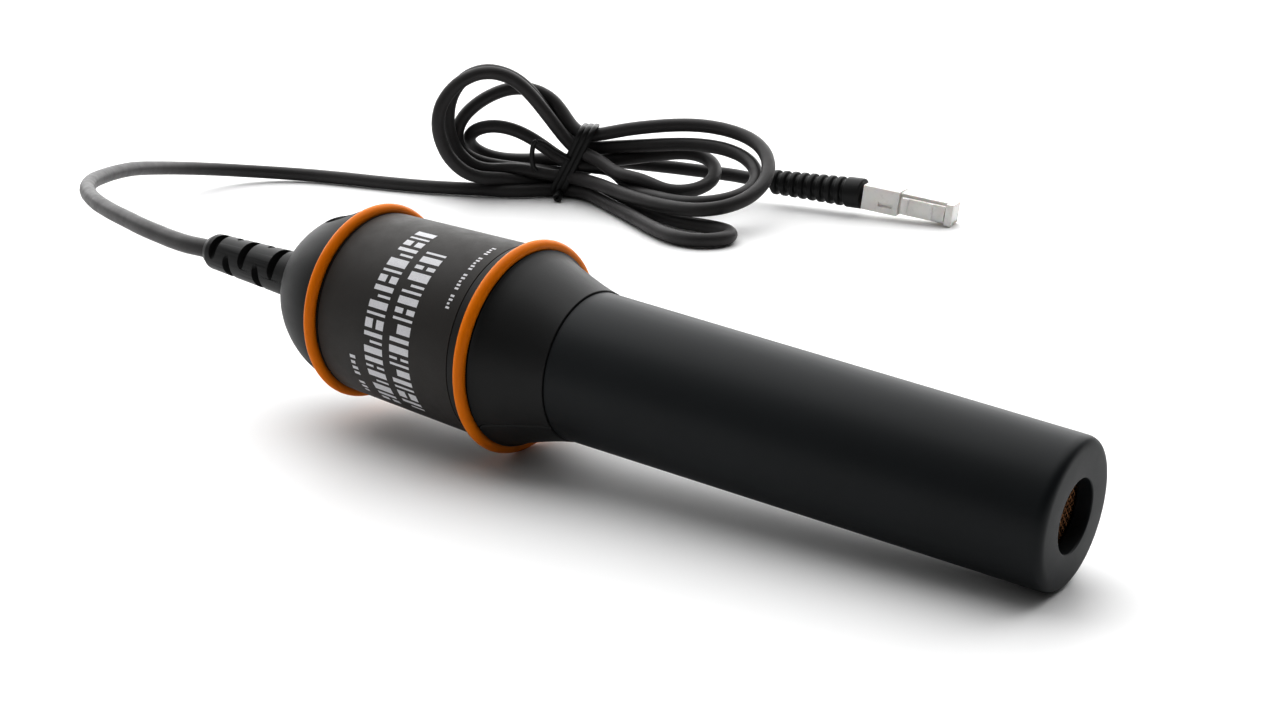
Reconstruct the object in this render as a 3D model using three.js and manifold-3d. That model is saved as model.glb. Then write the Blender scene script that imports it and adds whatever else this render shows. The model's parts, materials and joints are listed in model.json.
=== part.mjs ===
// A hand-held end-window geiger counter: a two-shell plastic handle held together by two O-rings, a drafted
// front tube around the Geiger-Mueller tube, and a tied cord that ends in a six-way telephone-type plug.
// Millimetres, +Z up. The probe lies on its front O-ring and the lip of its tube.
// +X points from the cord to the window.
import * as THREE from 'three';
import { mergeVertices } from 'three/addons/utils/BufferGeometryUtils.js';
import Module from 'manifold-3d';

const wasm = await Module();
wasm.setup();

// ---- driving dimensions; x runs along the probe's axis from the centre of the front O-ring ----
const GAP = 0.3; // clearance that touching pieces keep
const ROUND = 40; // facets around the probe
const FRONT_RING = { x: 0, outer: 23, wire: 1.3 };
const REAR_RING = { x: -43.1, outer: 21.84, wire: 1.3 };
const HANDLE = { radius: 21.08, taper: 0.023, bore: 17.2 };
const LABEL = { start: -41.3, end: -3.95, recess: 0.6 };
const CONE = { start: 1.9, startRadius: 20.6, end: 16.8, endRadius: 15.95 };
const DOME = { start: -45, length: 21.5, power: 1.72 };
const TUBE = {
  end: 123.45, endRadius: 14.4, shoulder: 15.68, lip: 1.8, bore: 12, spigot: 13.4, wallFront: 3,
  collar: { start: 8.8, end: 11, radius: 15.2 }, // held between the two shells
};
const WINDOW_RADIUS = 6.97;
const PARTING_ROLL = THREE.MathUtils.degToRad(37.5);
const RELIEF = {
  end: -96, endRadius: 4.15, root: -67, rootRadius: 5.35, tip: { radius: 2.9, length: 1.9 },
  collar: { start: -63, end: -60.5, radius: 7.4 }, // sits inside the dome and stops the relief pulling out
  slots: { count: 5, first: -91.6, step: 5.05, width: 2.3 },
};
const GM = { radius: 7.1, length: 49, front: 118.95, window: 4.9, wall: 0.6 };
const BOARD = { top: -3.4, thickness: 1.6, rear: -47, front: 60, tubePart: 8, half: 14, tubeHalf: 10.5 };
const BOARD_SCREWS = [-25, 3.4];
const SWITCH = { x: -51.4, slope: THREE.MathUtils.degToRad(21), depth: 2.4, floor: 1.2, travel: 3 };
const CORD_RADIUS = 2.2;

// ---- solids: three.js makes every shape, manifold-3d only joins and cuts ----
function solid(geometry) {
  const bare = geometry.clone();
  bare.deleteAttribute('normal');
  bare.deleteAttribute('uv');
  const merged = mergeVertices(bare, 1e-4);
  const index = merged.index.array;
  const triangles = [];
  for (let i = 0; i < index.length; i += 3) {
    const [a, b, c] = [index[i], index[i + 1], index[i + 2]];
    if (a !== b && b !== c && a !== c) triangles.push(a, b, c);
  }
  return new wasm.Manifold(new wasm.Mesh({
    numProp: 3,
    vertProperties: Float32Array.from(merged.attributes.position.array),
    triVerts: Uint32Array.from(triangles),
  }));
}

function geometryOf(body) {
  const mesh = body.getMesh();
  const geometry = new THREE.BufferGeometry();
  geometry.setAttribute('position', new THREE.BufferAttribute(Float32Array.from(mesh.vertProperties), 3));
  geometry.setIndex(Array.from(mesh.triVerts));
  geometry.computeVertexNormals();
  return geometry;
}

// A body of revolution about the X axis from [x, radius] points, closed along the axis or on itself.
function revolve(profile, segments = ROUND) {
  let turn = 0;
  profile.forEach(([x, r], i) => {
    const [nextX, nextR] = profile[(i + 1) % profile.length];
    turn += x * nextR - nextX * r;
  });
  const ordered = turn > 0 ? [...profile].reverse() : [...profile];
  const onAxis = ordered[0][1] === 0 && ordered[ordered.length - 1][1] === 0;
  if (!onAxis) ordered.push(ordered[0]);
  const points = ordered.map(([x, r]) => new THREE.Vector2(r, x));
  return solid(new THREE.LatheGeometry(points, segments).rotateZ(-Math.PI / 2));
}

function disc(x0, x1, radius, segments = 24) {
  return revolve([[x0, 0], [x0, radius], [x1, radius], [x1, 0]], segments);
}

function ring(x0, x1, inner, outer, segments = 24) {
  return revolve([[x0, inner], [x0, outer], [x1, outer], [x1, inner]], segments);
}

function torus({ x, outer, wire }, sides = 8, segments = ROUND) {
  const profile = [];
  for (let i = 0; i < sides; i++) {
    const a = (2 * Math.PI * i) / sides;
    profile.push([x + wire * Math.sin(a), outer - wire + wire * Math.cos(a)]);
  }
  return revolve(profile, segments);
}

// A box from its lowest and highest corners.
function block(low, high) {
  const size = high.map((value, i) => value - low[i]);
  const centre = high.map((value, i) => (value + low[i]) / 2);
  return solid(new THREE.BoxGeometry(...size).translate(...centre));
}

// An upright cylinder between two heights.
function post(x, y, z0, z1, radius, segments = 24) {
  const geometry = new THREE.CylinderGeometry(radius, radius, z1 - z0, segments);
  return solid(geometry.rotateX(Math.PI / 2).translate(x, y, (z0 + z1) / 2));
}

// A flat outline in the XY plane raised from z0 to z1.
function slab(shape, z0, z1, curveSegments = 8) {
  const geometry = new THREE.ExtrudeGeometry(shape, { depth: z1 - z0, bevelEnabled: false, curveSegments });
  return solid(geometry.translate(0, 0, z0));
}

// An outline with two round ends, longX along X and longY along Y in all.
function obround(longX, longY) {
  const shape = new THREE.Shape();
  const r = longX / 2;
  const h = longY / 2 - r;
  shape.absarc(0, h, r, 0, Math.PI, false);
  shape.absarc(0, -h, r, Math.PI, 2 * Math.PI, false);
  return shape;
}

// A round tube along a smooth curve through the points.
function hose(points, radius, sides, steps) {
  const section = new THREE.Shape();
  section.absarc(0, 0, radius, 0, 2 * Math.PI, false);
  const stations = points.map((p) => new THREE.Vector3(...p));
  const extrudePath = new THREE.CatmullRomCurve3(stations, false, 'centripetal');
  const curveSegments = sides / 2; // a full circle takes two facets for each
  return solid(new THREE.ExtrudeGeometry(section, { steps, extrudePath, curveSegments, bevelEnabled: false }));
}

function moved(body, matrix) {
  return solid(geometryOf(body).applyMatrix4(matrix));
}

const joined = (first, ...rest) => rest.reduce((body, piece) => body.add(piece), first);

// ---- named meshes ----
const finishes = {
  blackPlastic: { color: 0x26292b, roughness: 0.55, metalness: 0 },
  tubePlastic: { color: 0x222628, roughness: 0.5, metalness: 0 },
  orangeRubber: { color: 0xe07a12, roughness: 0.45, metalness: 0 },
  labelFilm: { color: 0x343230, roughness: 0.6, metalness: 0 },
  softPvc: { color: 0x2b2d2e, roughness: 0.6, metalness: 0 },
  cordPvc: { color: 0x3c3b3c, roughness: 0.55, metalness: 0 },
  blackRubber: { color: 0x1b1b1b, roughness: 0.9, metalness: 0 },
  whitePlastic: { color: 0xe6e4df, roughness: 0.4, metalness: 0 },
  goldPlate: { color: 0xc59a4a, roughness: 0.3, metalness: 1 },
  copperMesh: { color: 0x8a5634, roughness: 0.4, metalness: 1 },
  steel: { color: 0xa9abae, roughness: 0.35, metalness: 1 },
  mica: { color: 0xb3a387, roughness: 0.2, metalness: 0 },
  glassSeal: { color: 0x5d7a68, roughness: 0.15, metalness: 0 },
  boardGreen: { color: 0x1f5a34, roughness: 0.5, metalness: 0 },
  chipEpoxy: { color: 0x1c1c1e, roughness: 0.5, metalness: 0 },
  ferrite: { color: 0x4a4745, roughness: 0.7, metalness: 0 },
  ceramic: { color: 0xb98a4e, roughness: 0.5, metalness: 0 },
  canSleeve: { color: 0x27324f, roughness: 0.35, metalness: 0 },
  wireSleeve: { color: 0x9c2a20, roughness: 0.5, metalness: 0 },
};

function mesh(name, body, finish) {
  const piece = new THREE.Mesh(geometryOf(body), new THREE.MeshStandardMaterial(finishes[finish]));
  piece.name = name;
  return piece;
}

// ---- handle: two half shells with a dome at the cord end and a cone at the tube end ----
const handleRadius = (x) => HANDLE.radius + HANDLE.taper * x;
const domeStartRadius = handleRadius(DOME.start);

function domeRadius(x) {
  const u = (DOME.start - x) / DOME.length;
  return domeStartRadius * (1 - u ** DOME.power) ** (1 / DOME.power);
}

const reliefRadius = (x) => {
  const t = (x - RELIEF.end) / (RELIEF.root - RELIEF.end);
  return RELIEF.endRadius + (RELIEF.rootRadius - RELIEF.endRadius) * t;
};
const domeHole = RELIEF.rootRadius + GAP;
const domeHoleShare = (domeHole / domeStartRadius) ** DOME.power;
const domeEnd = DOME.start - DOME.length * (1 - domeHoleShare) ** (1 / DOME.power);

// A groove for an O-ring, as four points across the ring's place.
function grooveUnder({ x, outer, wire }) {
  const floor = outer - 2 * wire - GAP;
  return [
    [x - wire - 0.25, handleRadius(x - wire)],
    [x - wire * 0.75, floor],
    [x + wire * 0.75, floor],
    [x + wire + 0.25, Math.min(handleRadius(x + wire), outer - wire)],
  ];
}

function handleOuter() {
  const points = [[domeEnd, domeHole]];
  const domeSteps = 7;
  for (let i = domeSteps - 1; i > 0; i--) {
    const x = DOME.start + (domeEnd - DOME.start) * Math.sin((Math.PI / 2) * (i / domeSteps));
    points.push([x, domeRadius(x)]);
  }
  points.push(...grooveUnder(REAR_RING));
  points.push([LABEL.start, handleRadius(LABEL.start)]);
  points.push([LABEL.start, handleRadius(LABEL.start) - LABEL.recess]);
  points.push([LABEL.end, handleRadius(LABEL.end) - LABEL.recess]);
  points.push([LABEL.end, handleRadius(LABEL.end)]);
  points.push(...grooveUnder(FRONT_RING));
  points.push([CONE.start, CONE.startRadius], [CONE.end, CONE.endRadius]);
  return points;
}

function handleInner() {
  const mouth = TUBE.spigot + GAP;
  const { collar } = TUBE;
  const seat = { start: collar.start - GAP, end: collar.end + GAP, radius: collar.radius + GAP };
  const slopeStart = 6;
  const wall = RELIEF.collar.start;
  const domeInside = [[-52, 16], [-58, 13], [-61, 10.5], [wall, 7.8], [wall, domeHole]];
  return [
    [CONE.end, mouth], [seat.end, mouth], [seat.end, seat.radius], [seat.start, seat.radius],
    [slopeStart, HANDLE.bore], [DOME.start, HANDLE.bore], ...domeInside,
  ];
}

// Everything on one side of the parting plane, rolled about the probe's axis.
function shellSide(sign) {
  const far = 60;
  const half = block([-120, -far, sign > 0 ? GAP / 2 : -far], [160, far, sign > 0 ? far : -GAP / 2]);
  return moved(half, new THREE.Matrix4().makeRotationX(PARTING_ROLL));
}

const pocketFrame = new THREE.Matrix4()
  .makeTranslation(SWITCH.x, 0, domeRadius(SWITCH.x))
  .multiply(new THREE.Matrix4().makeRotationY(-SWITCH.slope));
const pocket = {
  outer: slab(obround(11.4, 15.2), -SWITCH.depth - SWITCH.floor, 4),
  hollow: slab(obround(8.6, 12.4), -SWITCH.depth, 8),
  slot: block([-1.3, -3.1, -6], [1.3, 3.1, 0]),
};

function handleShells() {
  const skin = revolve([...handleOuter(), ...handleInner()]);
  const silhouette = revolve([[domeEnd, 0], ...handleOuter(), [CONE.end, 0]]);
  const boss = moved(pocket.outer, pocketFrame).intersect(silhouette);
  const upper = skin.intersect(shellSide(1)).add(boss)
    .subtract(moved(pocket.hollow, pocketFrame))
    .subtract(moved(pocket.slot, pocketFrame));
  let lower = skin.intersect(shellSide(-1));
  for (const x of BOARD_SCREWS) {
    const top = BOARD.top - BOARD.thickness - GAP;
    lower = lower.add(post(x, 0, -18.2, top, 3)).subtract(post(x, 0, -14, top + 1, 1.5, 16));
  }
  return [
    mesh('handle_shell_upper', upper, 'blackPlastic'),
    mesh('handle_shell_lower', lower, 'blackPlastic'),
  ];
}

function labelSleeve() {
  const [a, b] = [LABEL.start + GAP, LABEL.end - GAP];
  const inner = GAP - LABEL.recess;
  return mesh('label_sleeve', revolve([
    [a, handleRadius(a) + inner], [a, handleRadius(a)], [b, handleRadius(b)], [b, handleRadius(b) + inner],
  ]), 'labelFilm');
}

// ---- front tube with its window ----
function frontTube() {
  const { collar } = TUBE;
  const shoulder = CONE.end + GAP;
  const lipSteps = 4;
  const lipCentre = [TUBE.end - TUBE.lip, TUBE.endRadius - TUBE.lip];
  const lip = [];
  for (let i = 0; i <= lipSteps; i++) {
    const a = (Math.PI / 2) * (i / lipSteps);
    lip.push([lipCentre[0] + TUBE.lip * Math.sin(a), lipCentre[1] + TUBE.lip * Math.cos(a)]);
  }
  const wallInside = TUBE.end - TUBE.wallFront;
  const profile = [
    [collar.start, TUBE.bore], [collar.start, collar.radius], [collar.end, collar.radius],
    [collar.end, TUBE.spigot], [shoulder, TUBE.spigot], [shoulder, TUBE.shoulder], ...lip,
    [TUBE.end, WINDOW_RADIUS], [wallInside, WINDOW_RADIUS], [wallInside, TUBE.bore],
  ];
  return mesh('front_tube', revolve(profile), 'tubePlastic');
}

function windowGuard() {
  const face = TUBE.end - TUBE.wallFront - GAP;
  const guard = { radius: 9.6, thickness: 0.5 };
  return mesh('window_guard_mesh', disc(face - guard.thickness, face, guard.radius, 32), 'copperMesh');
}

// ---- Geiger-Mueller tube and its two rubber holders ----
function geigerTube() {
  const rear = GM.front - GM.length;
  const inner = GM.radius - GM.wall;
  const cup = revolve([
    [rear, 2.4], [rear, GM.radius], [GM.front, GM.radius], [GM.front, GM.window], [GM.front - 0.6, GM.window],
    [GM.front - 0.6, inner], [rear + GM.wall, inner], [rear + GM.wall, 2.4],
  ], 24);
  const holder = (x) => ring(x, x + 8, GM.radius + GAP, TUBE.bore - GAP);
  return [
    mesh('gm_tube_shell', cup, 'steel'),
    mesh('gm_tube_mica_window', disc(GM.front - 1.2, GM.front - 0.9, inner - GAP), 'mica'),
    mesh('gm_tube_glass_seal', ring(rear - 2, rear + 2.5, 0.85, 2.1, 20), 'glassSeal'),
    mesh('gm_tube_anode_pin', disc(rear - 5, rear + 40, 0.5, 10), 'steel'),
    mesh('gm_tube_front_holder', holder(GM.front - 12), 'blackRubber'),
    mesh('gm_tube_rear_holder', holder(rear + 4), 'blackRubber'),
  ];
}

// ---- rear strain relief: tapered, cut by rings of paired slots that alternate by a quarter turn ----
function rearStrainRelief() {
  const { collar, slots, tip } = RELIEF;
  const tipEnd = RELIEF.end + tip.length;
  let body = revolve([
    [RELIEF.end, 0], [RELIEF.end, tip.radius], [tipEnd, reliefRadius(tipEnd)],
    [RELIEF.root, RELIEF.rootRadius], [collar.start, RELIEF.rootRadius],
    [collar.start + GAP, collar.radius], [collar.end, collar.radius], [collar.end, 0],
  ], 24);
  const core = CORD_RADIUS + 0.5;
  const far = 6; // well outside the relief
  for (let i = 0; i < slots.count; i++) {
    const x = slots.first + i * slots.step;
    const roll = PARTING_ROLL + (i % 2) * (Math.PI / 2);
    for (const side of [1, -1]) {
      const cut = block([x - slots.width / 2, -far, 0], [x + slots.width / 2, far, far]);
      const wedge = moved(cut, new THREE.Matrix4().makeTranslation(0, 0, 1))
        .subtract(disc(x - slots.width, x + slots.width, core, 12));
      const turn = new THREE.Matrix4().makeRotationX(roll + (side > 0 ? 0 : Math.PI));
      body = body.subtract(moved(wedge, turn));
    }
  }
  return mesh('rear_strain_relief', body, 'softPvc');
}

// ---- circuit board and what it carries ----
function circuitBoard() {
  const outline = new THREE.Shape([
    [BOARD.rear, -10], [BOARD.rear + 5, -BOARD.half], [BOARD.tubePart - 2, -BOARD.half],
    [BOARD.tubePart, -BOARD.tubeHalf], [BOARD.front, -BOARD.tubeHalf], [BOARD.front, BOARD.tubeHalf],
    [BOARD.tubePart, BOARD.tubeHalf], [BOARD.tubePart - 2, BOARD.half], [BOARD.rear + 5, BOARD.half],
    [BOARD.rear, 10],
  ].map(([x, y]) => new THREE.Vector2(x, y)));
  let board = slab(outline, BOARD.top - BOARD.thickness, BOARD.top);
  for (const x of BOARD_SCREWS) board = board.subtract(post(x, 0, -8, 0, 1.6, 16));
  return mesh('circuit_board', board, 'boardGreen');
}

// A moulded chip whose bent legs stand on the board.
function chip(name, x, y) {
  const base = BOARD.top + GAP;
  let body = block([x - 4.9, y - 2, base + 0.4], [x + 4.9, y + 2, base + 2.4]);
  for (let i = 0; i < 4; i++) {
    const legX = x - 3.81 + i * 2.54;
    for (const side of [1, -1]) {
      const [near, far] = side > 0 ? [y + 1.8, y + 2.8] : [y - 2.8, y - 1.8];
      body = body.add(block([legX - 0.3, near, base + 0.9], [legX + 0.3, far, base + 1.3]));
      const [low, high] = side > 0 ? [y + 2.5, y + 2.8] : [y - 2.8, y - 2.5];
      body = body.add(block([legX - 0.3, low, base], [legX + 0.3, high, base + 1.1]));
    }
  }
  return mesh(name, body, 'chipEpoxy');
}

// An axial component: a body on one straight lead whose ends turn down to the board.
function axialPart(name, x0, x1, y, radius, finish) {
  const z = BOARD.top + GAP + radius + 0.3;
  const body = revolve([
    [x0, 0], [x0, radius * 0.8], [x0 + 0.4, radius], [x1 - 0.4, radius], [x1, radius * 0.8], [x1, 0],
  ], 16);
  const lead = joined(
    disc(x0 - 2, x1 + 2, 0.3, 8),
    block([x0 - 2.3, -0.3, BOARD.top + GAP - z], [x0 - 1.7, 0.3, 0.3]),
    block([x1 + 1.7, -0.3, BOARD.top + GAP - z], [x1 + 2.3, 0.3, 0.3]),
  );
  return mesh(name, moved(body.add(lead), new THREE.Matrix4().makeTranslation(0, y, z)), finish);
}

function electronics() {
  const base = BOARD.top + GAP;
  const transformer = joined(
    block([-11.5, -6, base], [-0.5, 6, base + 1.8]),
    block([-10, -4.6, base + 1.5], [-2, 4.6, base + 7.5]),
    block([-11.5, -6, base + 7.2], [-0.5, 6, base + 9]),
  );
  const beeper = post(-34, -7, base, base + 5.5, 6, 28).subtract(post(-34, -7, base + 3.5, base + 6, 1, 12));
  const canHeight = 9;
  const can = post(-34, 7.2, base, base + canHeight, 3.2).subtract(
    block([-34.2, 4.6, base + canHeight - 0.4], [-33.8, 9.8, base + canHeight + 1]),
  );
  const discUp = new THREE.Matrix4().makeTranslation(0, 0, base + 5.1);
  const discCapacitor = moved(disc(12.6, 15.4, 4.5, 24), discUp);
  const capacitorLegs = block([13.7, -2.8, base], [14.3, 2.8, base + 3]);
  const header = joined(
    block([-46.4, -4, base], [-41.4, 4, base + 1.6]),
    block([-46.4, -4, base + 1.4], [-45.4, 4, base + 5.6]),
    block([-44.9, -3.2, base + 1.4], [-44.3, 3.2, base + 4.6]),
  );
  return [
    mesh('high_voltage_transformer', transformer, 'ferrite'),
    mesh('piezo_beeper', beeper, 'blackPlastic'),
    mesh('reservoir_capacitor', can, 'canSleeve'),
    mesh('high_voltage_capacitor', discCapacitor.add(capacitorLegs), 'ceramic'),
    mesh('filter_capacitor', block([43, -2.6, base], [53, 2.6, base + 7.5]), 'ceramic'),
    chip('control_chip', -19, 7),
    chip('pulse_chip', -19, -7),
    axialPart('rectifier_diode', 20, 26, 4.5, 1.3, 'chipEpoxy'),
    axialPart('anode_resistor', 31, 38, -3.5, 1.3, 'ceramic'),
    mesh('cable_header', header, 'whitePlastic'),
  ];
}

function boardScrews() {
  return BOARD_SCREWS.map((x, i) => {
    const seat = BOARD.top + GAP;
    const driveSlot = block([x - 2.6, -0.35, seat + 0.9], [x + 2.6, 0.35, seat + 3]);
    const screw = joined(post(x, 0, -12, seat + 0.2, 1.15, 16), post(x, 0, seat, seat + 1.7, 2.4, 20));
    return mesh(`board_screw_${i + 1}`, screw.subtract(driveSlot), 'steel');
  });
}

function wiring() {
  const rear = GM.front - GM.length;
  const landing = BOARD.top + GAP + 0.6;
  const pad = BOARD.front - 3; // where both wires are soldered
  const side = 5.6; // the cathode wire runs beside the anode pin
  const wire = 0.55;
  const anode = [
    [rear - 5.4, 0, 0], [rear - 7, 0, 0], [rear - 9, 0, -0.8],
    [rear - 11, 0, landing + 0.3], [pad, 0, landing],
  ];
  const cathode = [
    [rear - 0.9, side, 0.6], [rear - 2.6, side, 0.4], [rear - 6, side, -0.8],
    [rear - 9, side, landing], [pad, side, landing],
  ];
  const tail = [[-60.1, 0, 0], [-57, 0, 0], [-52, 0, 0.2], [-46.8, 0, 0.2]];
  return [
    mesh('anode_wire', hose(anode, wire, 8, 6), 'wireSleeve'),
    mesh('cathode_wire', hose(cathode, wire, 8, 6), 'chipEpoxy'),
    mesh('inner_cord_tail', hose(tail, CORD_RADIUS, 10, 4), 'cordPvc'),
    mesh('cord_crimp', ring(-59.2, -55.6, CORD_RADIUS + 0.35, 3.7, 24), 'steel'),
  ];
}

// ---- beeper switch in the dome's pocket; the slider runs across the probe, along Y ----
function beeperSwitch() {
  const start = -SWITCH.travel / 2;
  const under = -SWITCH.depth - SWITCH.floor - GAP;
  const body = block([-2.4, -4.4, under - 4.5], [4, 4.4, under])
    .subtract(block([-1.3, -3.1, under - 2], [1.3, 3.1, under + 1]));
  const knobLow = -SWITCH.depth + GAP;
  let slider = joined(
    block([-0.85, start - 1, under - 1.5], [0.85, start + 1, knobLow + 0.2]),
    block([-1.9, start - 1.7, knobLow], [1.9, start + 1.7, knobLow + 1]),
  );
  for (const y of [-1.3, 0, 1.3]) {
    slider = slider.add(block([-1.9, start + y - 0.3, knobLow + 0.8], [1.9, start + y + 0.3, knobLow + 1.5]));
  }
  return [
    mesh('beeper_switch_body', moved(body, pocketFrame), 'chipEpoxy'),
    mesh('beeper_switch_slider', moved(slider, pocketFrame), 'blackPlastic'),
  ];
}

// ---- the probe, tipped so that the front O-ring and the tube's lip both touch the table ----
const ringDrop = FRONT_RING.outer - FRONT_RING.wire;
const lipDrop = TUBE.endRadius - TUBE.lip;
const lipReach = TUBE.end - TUBE.lip - FRONT_RING.x;
const probeTilt = Math.asin((FRONT_RING.wire - TUBE.lip) / Math.hypot(lipReach, ringDrop - lipDrop))
  + Math.atan2(ringDrop - lipDrop, lipReach);

const probe = new THREE.Group();
probe.add(
  ...handleShells(),
  labelSleeve(),
  mesh('rear_o_ring', torus(REAR_RING), 'orangeRubber'),
  mesh('front_o_ring', torus(FRONT_RING), 'orangeRubber'),
  frontTube(),
  windowGuard(),
  ...geigerTube(),
  rearStrainRelief(),
  circuitBoard(),
  ...electronics(),
  ...boardScrews(),
  ...wiring(),
  ...beeperSwitch(),
);
probe.rotation.y = probeTilt;
const probeBox = new THREE.Box3().setFromObject(probe, true);
probe.position.set(-(probeBox.min.x + probeBox.max.x) / 2, 0, -probeBox.min.z);
probe.updateMatrixWorld();

// ---- plug: a ribbed relief, then a two-step body with a latch lever on its side and six contacts below ----
const PLUG = {
  start: new THREE.Vector3(-98, 230.1, 7.6), joint: new THREE.Vector3(-65, 233.1, 7.2),
  nosePoint: new THREE.Vector3(-35.2, 238.6, 3.75),
  rear: 12.6, rearHalf: [4.3, 3.9], nose: [-2.5, 3.3], noseHalfHeight: 3.4,
  lever: { out: -4.6, in: -3.5, hinge: 2.6, halfHeight: 2.6 },
  contacts: { count: 6, pitch: 0.92, length: 5.8, width: 0.26, depth: 0.6 },
  relief: {
    startRadius: 4, spread: 0.95, collarRadius: 4.9, bore: 2.7, ribs: 8, step: 3.3, first: 0.7, groove: 0.95,
  },
};
const plugReliefLength = PLUG.start.distanceTo(PLUG.joint) - GAP;
const plugBodyLength = PLUG.joint.distanceTo(PLUG.nosePoint);

function plugStrainRelief() {
  const { startRadius, spread, collarRadius, bore, ribs, step, first, groove } = PLUG.relief;
  const radiusAt = (x) => startRadius + (spread * x) / plugReliefLength;
  const profile = [[0, 0], [0, bore]];
  for (let i = 0; i < ribs; i++) {
    const x = first + i * step;
    profile.push([x, radiusAt(x)], [x + 1.9, radiusAt(x + 1.9)], [x + 2.6, radiusAt(x) - groove]);
  }
  profile.push([first + ribs * step, collarRadius], [plugReliefLength, collarRadius], [plugReliefLength, 0]);
  return mesh('plug_strain_relief', revolve(profile, 16), 'softPvc');
}

function plugParts() {
  const [halfY, halfZ] = PLUG.rearHalf;
  const [noseLow, noseHigh] = PLUG.nose;
  const { rear, lever, contacts: strips, noseHalfHeight: h } = PLUG;
  const leverRoot = plugBodyLength - lever.hinge;
  let body = joined(
    block([0.6, -halfY, -halfZ], [rear, halfY, halfZ]),
    block([rear - 0.5, noseLow, -h], [plugBodyLength, noseHigh, h]),
    block([leverRoot + GAP, lever.out, -h], [plugBodyLength, noseLow + 0.2, h]),
  ).subtract(block([6, -halfY - 1, -1.9], [10.6, -halfY + 1, -0.4]));
  const contacts = [];
  const tip = plugBodyLength;
  for (let i = 0; i < strips.count; i++) {
    const y = noseLow + 0.6 + i * strips.pitch;
    const half = strips.width / 2;
    body = body.subtract(block([tip - strips.length - 0.7, y - 0.35, -h - 1], [tip + 1, y + 0.35, -h + 1]));
    const low = -h + 0.12;
    const strip = block([tip - strips.length - 0.3, y - half, low], [tip - 0.3, y + half, low + strips.depth]);
    contacts.push(mesh(`plug_contact_${i + 1}`, strip, 'goldPlate'));
  }
  const high = lever.halfHeight;
  const thumb = rear + 1.2; // the lever's free end, with a raised pad for the thumb
  const catchAt = leverRoot - 5;
  const latch = joined(
    block([thumb, lever.out, -high], [leverRoot, lever.in, high]),
    block([thumb, lever.out - 0.7, -high], [thumb + 2.2, lever.out + 0.2, high]),
    block([catchAt, lever.out - 0.5, -high], [catchAt + 1.2, lever.out + 0.2, high]),
  );
  return [
    mesh('plug_body', body, 'whitePlastic'),
    mesh('plug_latch', latch, 'whitePlastic'),
    ...contacts,
  ];
}

// A group whose own X axis runs from one point towards another.
function aimed(from, to, ...pieces) {
  const run = new THREE.Vector3().subVectors(to, from);
  const holder = new THREE.Group();
  holder.add(...pieces);
  holder.rotation.order = 'ZYX';
  holder.rotation.z = Math.atan2(run.y, run.x);
  holder.rotation.y = -Math.atan2(run.z, Math.hypot(run.x, run.y));
  holder.position.copy(from);
  holder.updateMatrixWorld();
  return holder;
}

// ---- cord: the two free stretches as tubes, and the tied hank between them as one plain solid ----
const leadInRoute = [
  [-110.3, 0, 29.7], [-114, 0.1, 29.75], [-118.5, 0.5, 29.6], [-125.9, 2.1, 29.4], [-133.7, 4.1, 29.4],
  [-142.3, 6.6, 29.3], [-152.1, 10.2, 29.1], [-164.1, 15, 28.6], [-180, 22.7, 27.6], [-194.5, 31.4, 26.5],
  [-206.5, 40.4, 25.2], [-216.3, 49.4, 24], [-225.1, 59, 22.4], [-237.5, 75.1, 19.8], [-248.1, 91.3, 16.9],
  [-257.5, 109.1, 13], [-263.3, 126.6, 9.2], [-264.7, 141, 6.2], [-261.9, 152, 4.1], [-255.5, 159.9, 2.9],
  [-246.4, 165, 2.4], [-234.8, 168.1, 2.35], [-211.3, 172.7, 2.35], [-196.9, 176.9, 2.35], [-181.5, 184, 2.35],
  [-169, 191, 2.35],
];
const leadOutRoute = [
  [-154, 213, 10.5], [-144.5, 217.5, 10.1], [-134.5, 221.6, 9.5], [-123.5, 225.4, 8.8], [-113, 228.4, 8.2],
  [-106, 229.38, 7.75], [-98.5, 230.055, 7.606],
];
const HANK = {
  left: { x: -177, y: 187.5, z: 25, long: 23, high: 19.5, thick: 15, yaw: 0.72 },
  tie: { x: -159.5, y: 201.5, yaw: 0.45, long: 26, wide: 10, bottom: 2.2, top: 26, band: 3.2, thickness: 1.5 },
  right: { x: -113.5, y: 195.5, long: 37, wide: 23, bottom: 0.3, top: 27 },
};

function place({ x, y, yaw }) {
  return new THREE.Matrix4().makeTranslation(x, y, 0).multiply(new THREE.Matrix4().makeRotationZ(yaw));
}

function ellipse(halfLong, halfWide) {
  const shape = new THREE.Shape();
  shape.absellipse(0, 0, halfLong, halfWide, 0, 2 * Math.PI, false);
  return shape;
}

function cordHank() {
  const { left, tie, right } = HANK;
  const upright = new THREE.Matrix4().makeTranslation(0, 0, left.z)
    .multiply(new THREE.Matrix4().makeRotationX(Math.PI / 2));
  const standing = moved(slab(ellipse(left.long, left.high), -left.thick / 2, left.thick / 2), upright);
  const lying = slab(ellipse(right.long, right.wide), right.bottom, right.top);
  const neck = block([-tie.long / 2, -tie.wide / 2, tie.bottom], [tie.long / 2, tie.wide / 2, tie.top]);
  const body = joined(
    moved(standing, place(left)),
    moved(neck, place(tie)),
    moved(lying, new THREE.Matrix4().makeTranslation(right.x, right.y, 0)),
  );
  const { wide, bottom, top, band } = tie;
  const clear = band * 0.75; // half the length of the waist that leaves the tie free
  const room = block([-clear, -wide / 2 - 3, bottom - 3], [clear, wide / 2 + 3, top + 30])
    .subtract(block([-band, -wide / 2, bottom], [band, wide / 2, top]));
  return mesh('cord_hank', body.subtract(moved(room, place(tie))), 'cordPvc');
}

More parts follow.
